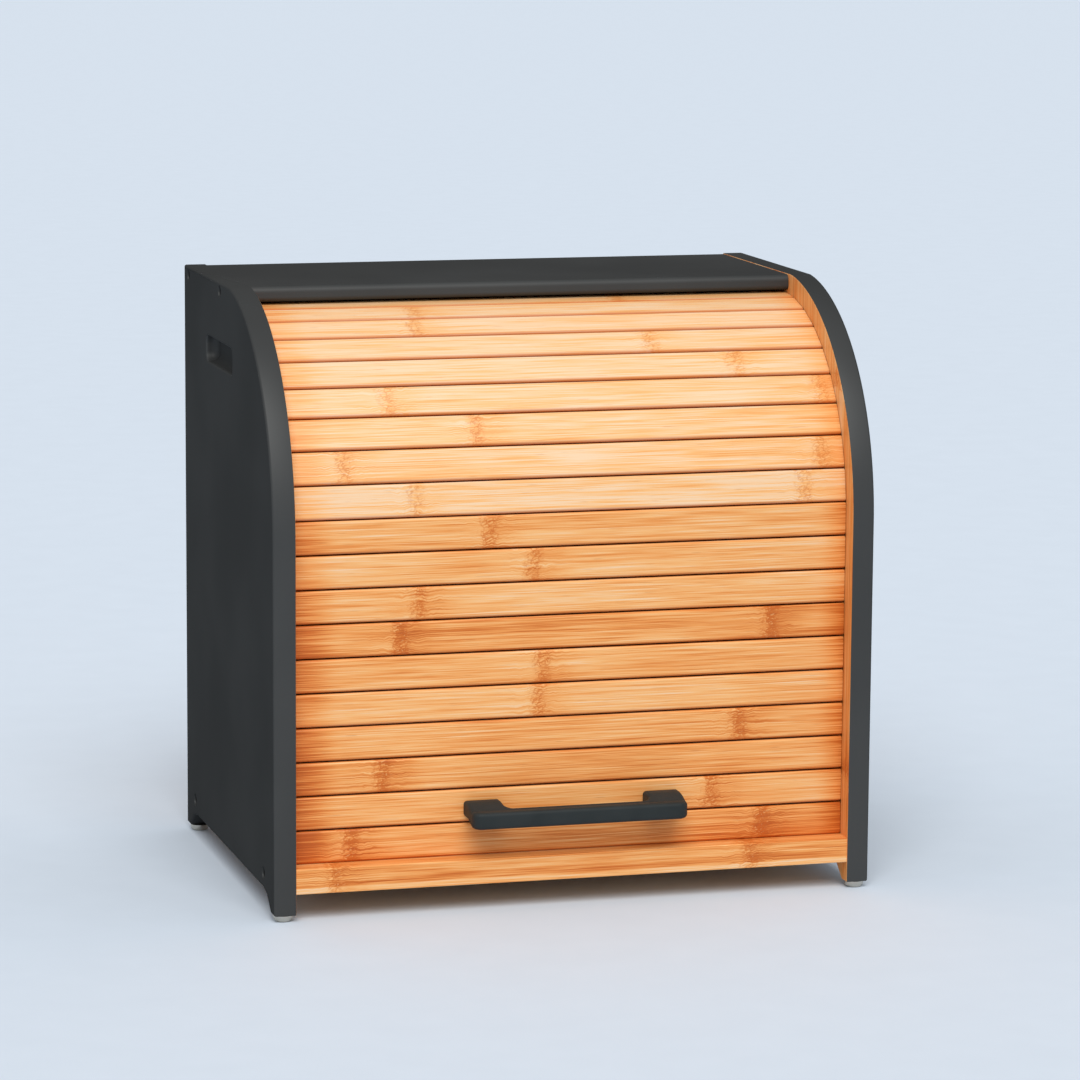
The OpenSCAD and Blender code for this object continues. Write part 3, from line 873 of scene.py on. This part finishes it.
def slat(number):
    """One slat with its strip of canvas and the two ends that run in the grooves."""
    wood_slot, canvas_slot = 0, 1
    m = Mesh(along_x)
    stations = rounded_stations(-SLAT_HALF_L, SLAT_HALF_L, SLAT_END_R, SLAT_END_R, FINE_QUARTER_STEPS)
    m.prism(slat_section(), stations, wood_slot)
    depth = (SLAT_T - TENON_T) / 2
    tenon = rectangle(depth, depth + TENON_T, SLAT_PITCH / 2 - TENON_SHOULDER)
    tip_x = SLAT_HALF_L + TENON_L
    for side in (-1, 1):
        tenon_stations = [(side * (SLAT_HALF_L - TENON_ROOT), 0), (side * (tip_x - TENON_ARRIS), 0),
                          (side * tip_x, TENON_ARRIS)]
        m.prism(tenon, tenon_stations, wood_slot, smooth=False)
    cloth = rectangle(SLAT_T - CANVAS_BOND, SLAT_T + CANVAS_T, SLAT_HALF_H - SLAT_TAPER + CANVAS_OVERHANG)
    cloth_x = SLAT_HALF_L - CANVAS_END_GAP
    m.prism(cloth, [(-cloth_x, 0), (cloth_x, 0)], canvas_slot, smooth=False)

    # The depth of tone holds painted light and shade as well as the wood's own tone
    knots, tone_with_painted_light = SLAT_LOOKS[number]
    wood = bamboo(f"slat_bamboo_{number:02d}", "X", "Z", seed=20 + number, depth=tone_with_painted_light, knots=knots,
                  slat_half=SLAT_HALF_H)
    piece = m.object(f"curtain_slat_{number:02d}", [wood, CANVAS])
    s = (number - 0.5) * SLAT_PITCH
    middle = CASE_ORIGIN + Vector((0, *track_point(s))) * MM
    piece.matrix_world = Matrix.Translation(middle) @ Matrix.Rotation(-track_angle(s), 4, "X")
    node = f"slat_{number:02d}"
    body = "handle_slat" if number == HANDLE_SLAT else node
    fit(piece, node, body, origin=None)


# ---- Handle ----

def handle_outline():
    """Plan of the handle, counterclockwise: a bar in front and a leg at each end."""
    w, d = HANDLE_L / 2, HANDLE_REACH
    iw, r, q = w - HANDLE_LEG_W, HANDLE_R, HANDLE_INNER_R
    bar = HANDLE_BAR_D
    points = [(-w, d)] + arc((-w + r, r), r, math.pi, 1.5 * math.pi)
    points += arc((w - r, r), r, 1.5 * math.pi, 2 * math.pi) + [(w, d), (iw, d)]
    points += arc((iw - q, bar + q), q, 0, -math.pi / 2) + arc((-iw + q, bar + q), q, -math.pi / 2, -math.pi)
    return without_repeats(points + [(-iw, d)])


def pull_handle():
    """Level bar on two legs whose tops curve down to it from the curtain."""
    y, z = CURTAIN_INSET - HANDLE_REACH, HANDLE_Z - BAR_DROOP
    m = Mesh(lambda where, a, b: (a, y + b, z + where))
    half = HANDLE_H / 2
    m.prism(handle_outline(), rounded_stations(-half, half, HANDLE_EDGE_R, HANDLE_EDGE_R, HANDLE_EDGE_STEPS))

    # The legs are cut every millimetre and their points raised along a quarter of a sine.
    rise_start = y + HANDLE_RISE_Y
    for cut in range(HANDLE_RISE_L + 1):
        everything = [*m.bm.verts, *m.bm.edges, *m.bm.faces]
        bmesh.ops.bisect_plane(m.bm, geom=everything, dist=COARSE_WELD, plane_no=(0, 1, 0),
                               plane_co=(0, (rise_start + cut) * MM, 0))
    for vert in m.bm.verts:
        risen = min(max((vert.co.y / MM - rise_start) / HANDLE_RISE_L, 0.0), 1.0)
        vert.co.z += BAR_DROOP * MM * math.sin(math.pi / 2 * risen)
    fit(m.object("bar_handle", [COATING]), "pull_handle", "handle_slat")


# ---- Hardware ----

def foot(side, y, name):
    """Domed metal glide under the end of a side panel."""
    x = side * (INNER_X + SIDE_T / 2)
    m = Mesh(lambda height, a, b: (x + a, y + b, height))
    flat, rim = FOOT_TIP_D / 2, FOOT_D / 2
    dome = [(flat * FOOT_TIP_FLAT, -FOOT_H), (flat, -FOOT_H + FOOT_TIP_RISE)]
    for i in range(1, FOOT_STEPS + 1):
        a = math.pi / 2 * i / FOOT_STEPS
        radius = flat + (rim - flat) * math.sin(a)
        dome.append((radius, -FOOT_H + FOOT_TIP_RISE + (FOOT_H - FOOT_RIM_H) * (1 - math.cos(a))))
    tip, top = m.lathe(dome + [(rim, -FOOT_RIM_R), (rim - FOOT_RIM_R, 0)])
    m.cap(tip)
    m.cap(top)
    fit(m.object(name, [NICKEL]), "feet", "case")


def screw(name, place, diameter, head, recess, recess_depth, node, body):
    """Turned head with a recess sunk into its top."""
    m = Mesh(place)
    bottom, rim = m.lathe([(diameter / 2 - move, height) for move, height in head])
    top = head[-1][1]
    mouth, floor = m.wall(recess, [(top, 0), (top - recess_depth, 0)], smooth=False)
    m.cap(bottom)
    m.cap(rim, mouth)
    m.cap(floor)
    fit(m.object(name, [OXIDE]), node, body)


def case_screw(side, seat, name):
    """Black socket screw at the bottom of its counterbore."""
    floor_x = OUTER_X - SCREW_BORE_DEPTH
    y, z = seat
    hexagon = circle((0, 0), SOCKET_W / math.cos(math.pi / 6), 6)[::-1]
    screw(name, lambda height, a, b: (side * (floor_x + height), y + a, z + b), SCREW_HEAD_D, SCREW_HEAD,
          hexagon, SOCKET_DEPTH, "case_screws", "case")


def cross():
    """Outline of a cross recess, clockwise."""
    points = []
    corner = [(CROSS_HALF, CROSS_REACH), (CROSS_HALF, CROSS_HALF), (CROSS_REACH, CROSS_HALF)]
    for _ in range(4):
        points += corner
        corner = [(y, -x) for x, y in corner]
    return points


def handle_screw(side, name):
    """Pan-head screw behind the handle's slat."""
    x = side * (HANDLE_L - HANDLE_LEG_W) / 2
    y = CURTAIN_INSET + SLAT_T + CANVAS_T
    screw(name, lambda height, a, b: (x + a, y + height, HANDLE_Z + b), PAN_HEAD_D, PAN_HEAD,
          cross(), CROSS_DEPTH, "handle_screws", "handle_slat")


# ---- The object ----

side_panel(-1, "left_side_panel")
side_panel(1, "right_side_panel")
cross_board("top_board", PAINT, nose_top=NOSE_R, nose_under=NOSE_UNDER_R)
cross_board("base_board", PLY_BAMBOO)
eased_copy("back_panel", "case", BACK_BAMBOO, THIN_ARRIS)
eased_copy("shelf", "case", BOARD_BAMBOO)
for name in ("left_shelf_cleat", "right_shelf_cleat", "left_drawer_runner", "right_drawer_runner"):
    eased_copy(name, "case", RAIL_BAMBOO)
for number in range(1, SLAT_COUNT + 1):
    slat(number)
pull_handle()
for side, word in ((-1, "left"), (1, "right")):
    handle_screw(side, f"{word}_handle_screw")
    for y, end in ((FOOT_INSET, "front"), (CASE_D - FOOT_INSET, "rear")):
        foot(side, y, f"{word}_{end}_foot")
    for number, seat in enumerate(screw_seats(), start=1):
        case_screw(side, seat, f"{word}_case_screw_{number}")
eased_copy("drawer_front", "drawer", BACK_BAMBOO, DRAWER_FRONT_ARRIS)
eased_copy("drawer_back", "drawer", BACK_BAMBOO)
eased_copy("drawer_bottom", "drawer", BOARD_BAMBOO, THIN_ARRIS)
for name in ("drawer_left_side", "drawer_right_side"):
    eased_copy(name, "drawer", RAIL_BAMBOO)


# ---- Floor, light and camera ----

def studio_floor():
    """A wide pale floor."""
    half = 40.0
    corners = [(-half, -half, 0), (half, -half, 0), (half, half, 0), (-half, half, 0)]
    mesh = bpy.data.meshes.new("studio_floor")
    mesh.from_pydata(corners, [], [(0, 1, 2, 3)])
    g = Graph("studio_floor")
    fleck = g.noise(g.place(), scale=30.0)
    g.fix({"Specular IOR Level": 0.1})
    pale = g.finish(g.mix(fleck, srgb(206, 216, 228), srgb(210, 220, 232)), 0.9)
    make_object("studio_floor", mesh, [pale])


def studio_light():
    """One wide soft lamp above the front and an even white sky."""
    elevation, turn, softness = math.radians(50), math.radians(-12), math.radians(42)
    sun = bpy.data.lights.new("soft_sun", "SUN")
    sun.energy = 2.2
    sun.angle = softness
    sun.color = (1.0, 0.98, 0.95)
    lamp = bpy.data.objects.new("soft_sun", sun)
    bpy.context.scene.collection.objects.link(lamp)
    level = math.cos(elevation)
    towards = Vector((math.sin(turn) * level, -math.cos(turn) * level, math.sin(elevation)))
    lamp.rotation_mode = "QUATERNION"
    lamp.rotation_quaternion = towards.to_track_quat("Z", "Y")
    world = bpy.data.worlds.new("studio")
    world.use_nodes = True
    background = world.node_tree.nodes["Background"]
    background.inputs["Color"].default_value = (0.94, 0.97, 1.0, 1.0)
    background.inputs["Strength"].default_value = 0.58
    bpy.context.scene.world = world


def camera():
    """The photograph's view: from the left and a little above."""
    image_pixels, focal_pixels = 1080, 4507
    left_of_box, in_front, height = 566.4, 2590.7, 667.4
    yaw, pitch, roll = math.radians(15.77), math.radians(9.344), math.radians(0.398)
    data = bpy.data.cameras.new("camera")
    data.sensor_width = 36
    data.lens = focal_pixels / image_pixels * data.sensor_width
    data.clip_end = 100
    made = bpy.data.objects.new("camera", data)
    bpy.context.scene.collection.objects.link(made)
    place = CASE_ORIGIN + Vector((-OUTER_X - left_of_box, -in_front, height)) * MM
    turn = Matrix.Rotation(-yaw, 4, "Z") @ Matrix.Rotation(math.pi / 2 - pitch, 4, "X")
    made.matrix_world = Matrix.Translation(place) @ (turn @ Matrix.Rotation(roll, 4, "Z"))
    bpy.context.scene.camera = made


studio_floor()
studio_light()
camera()
bpy.context.scene.view_settings.view_transform = "Standard"
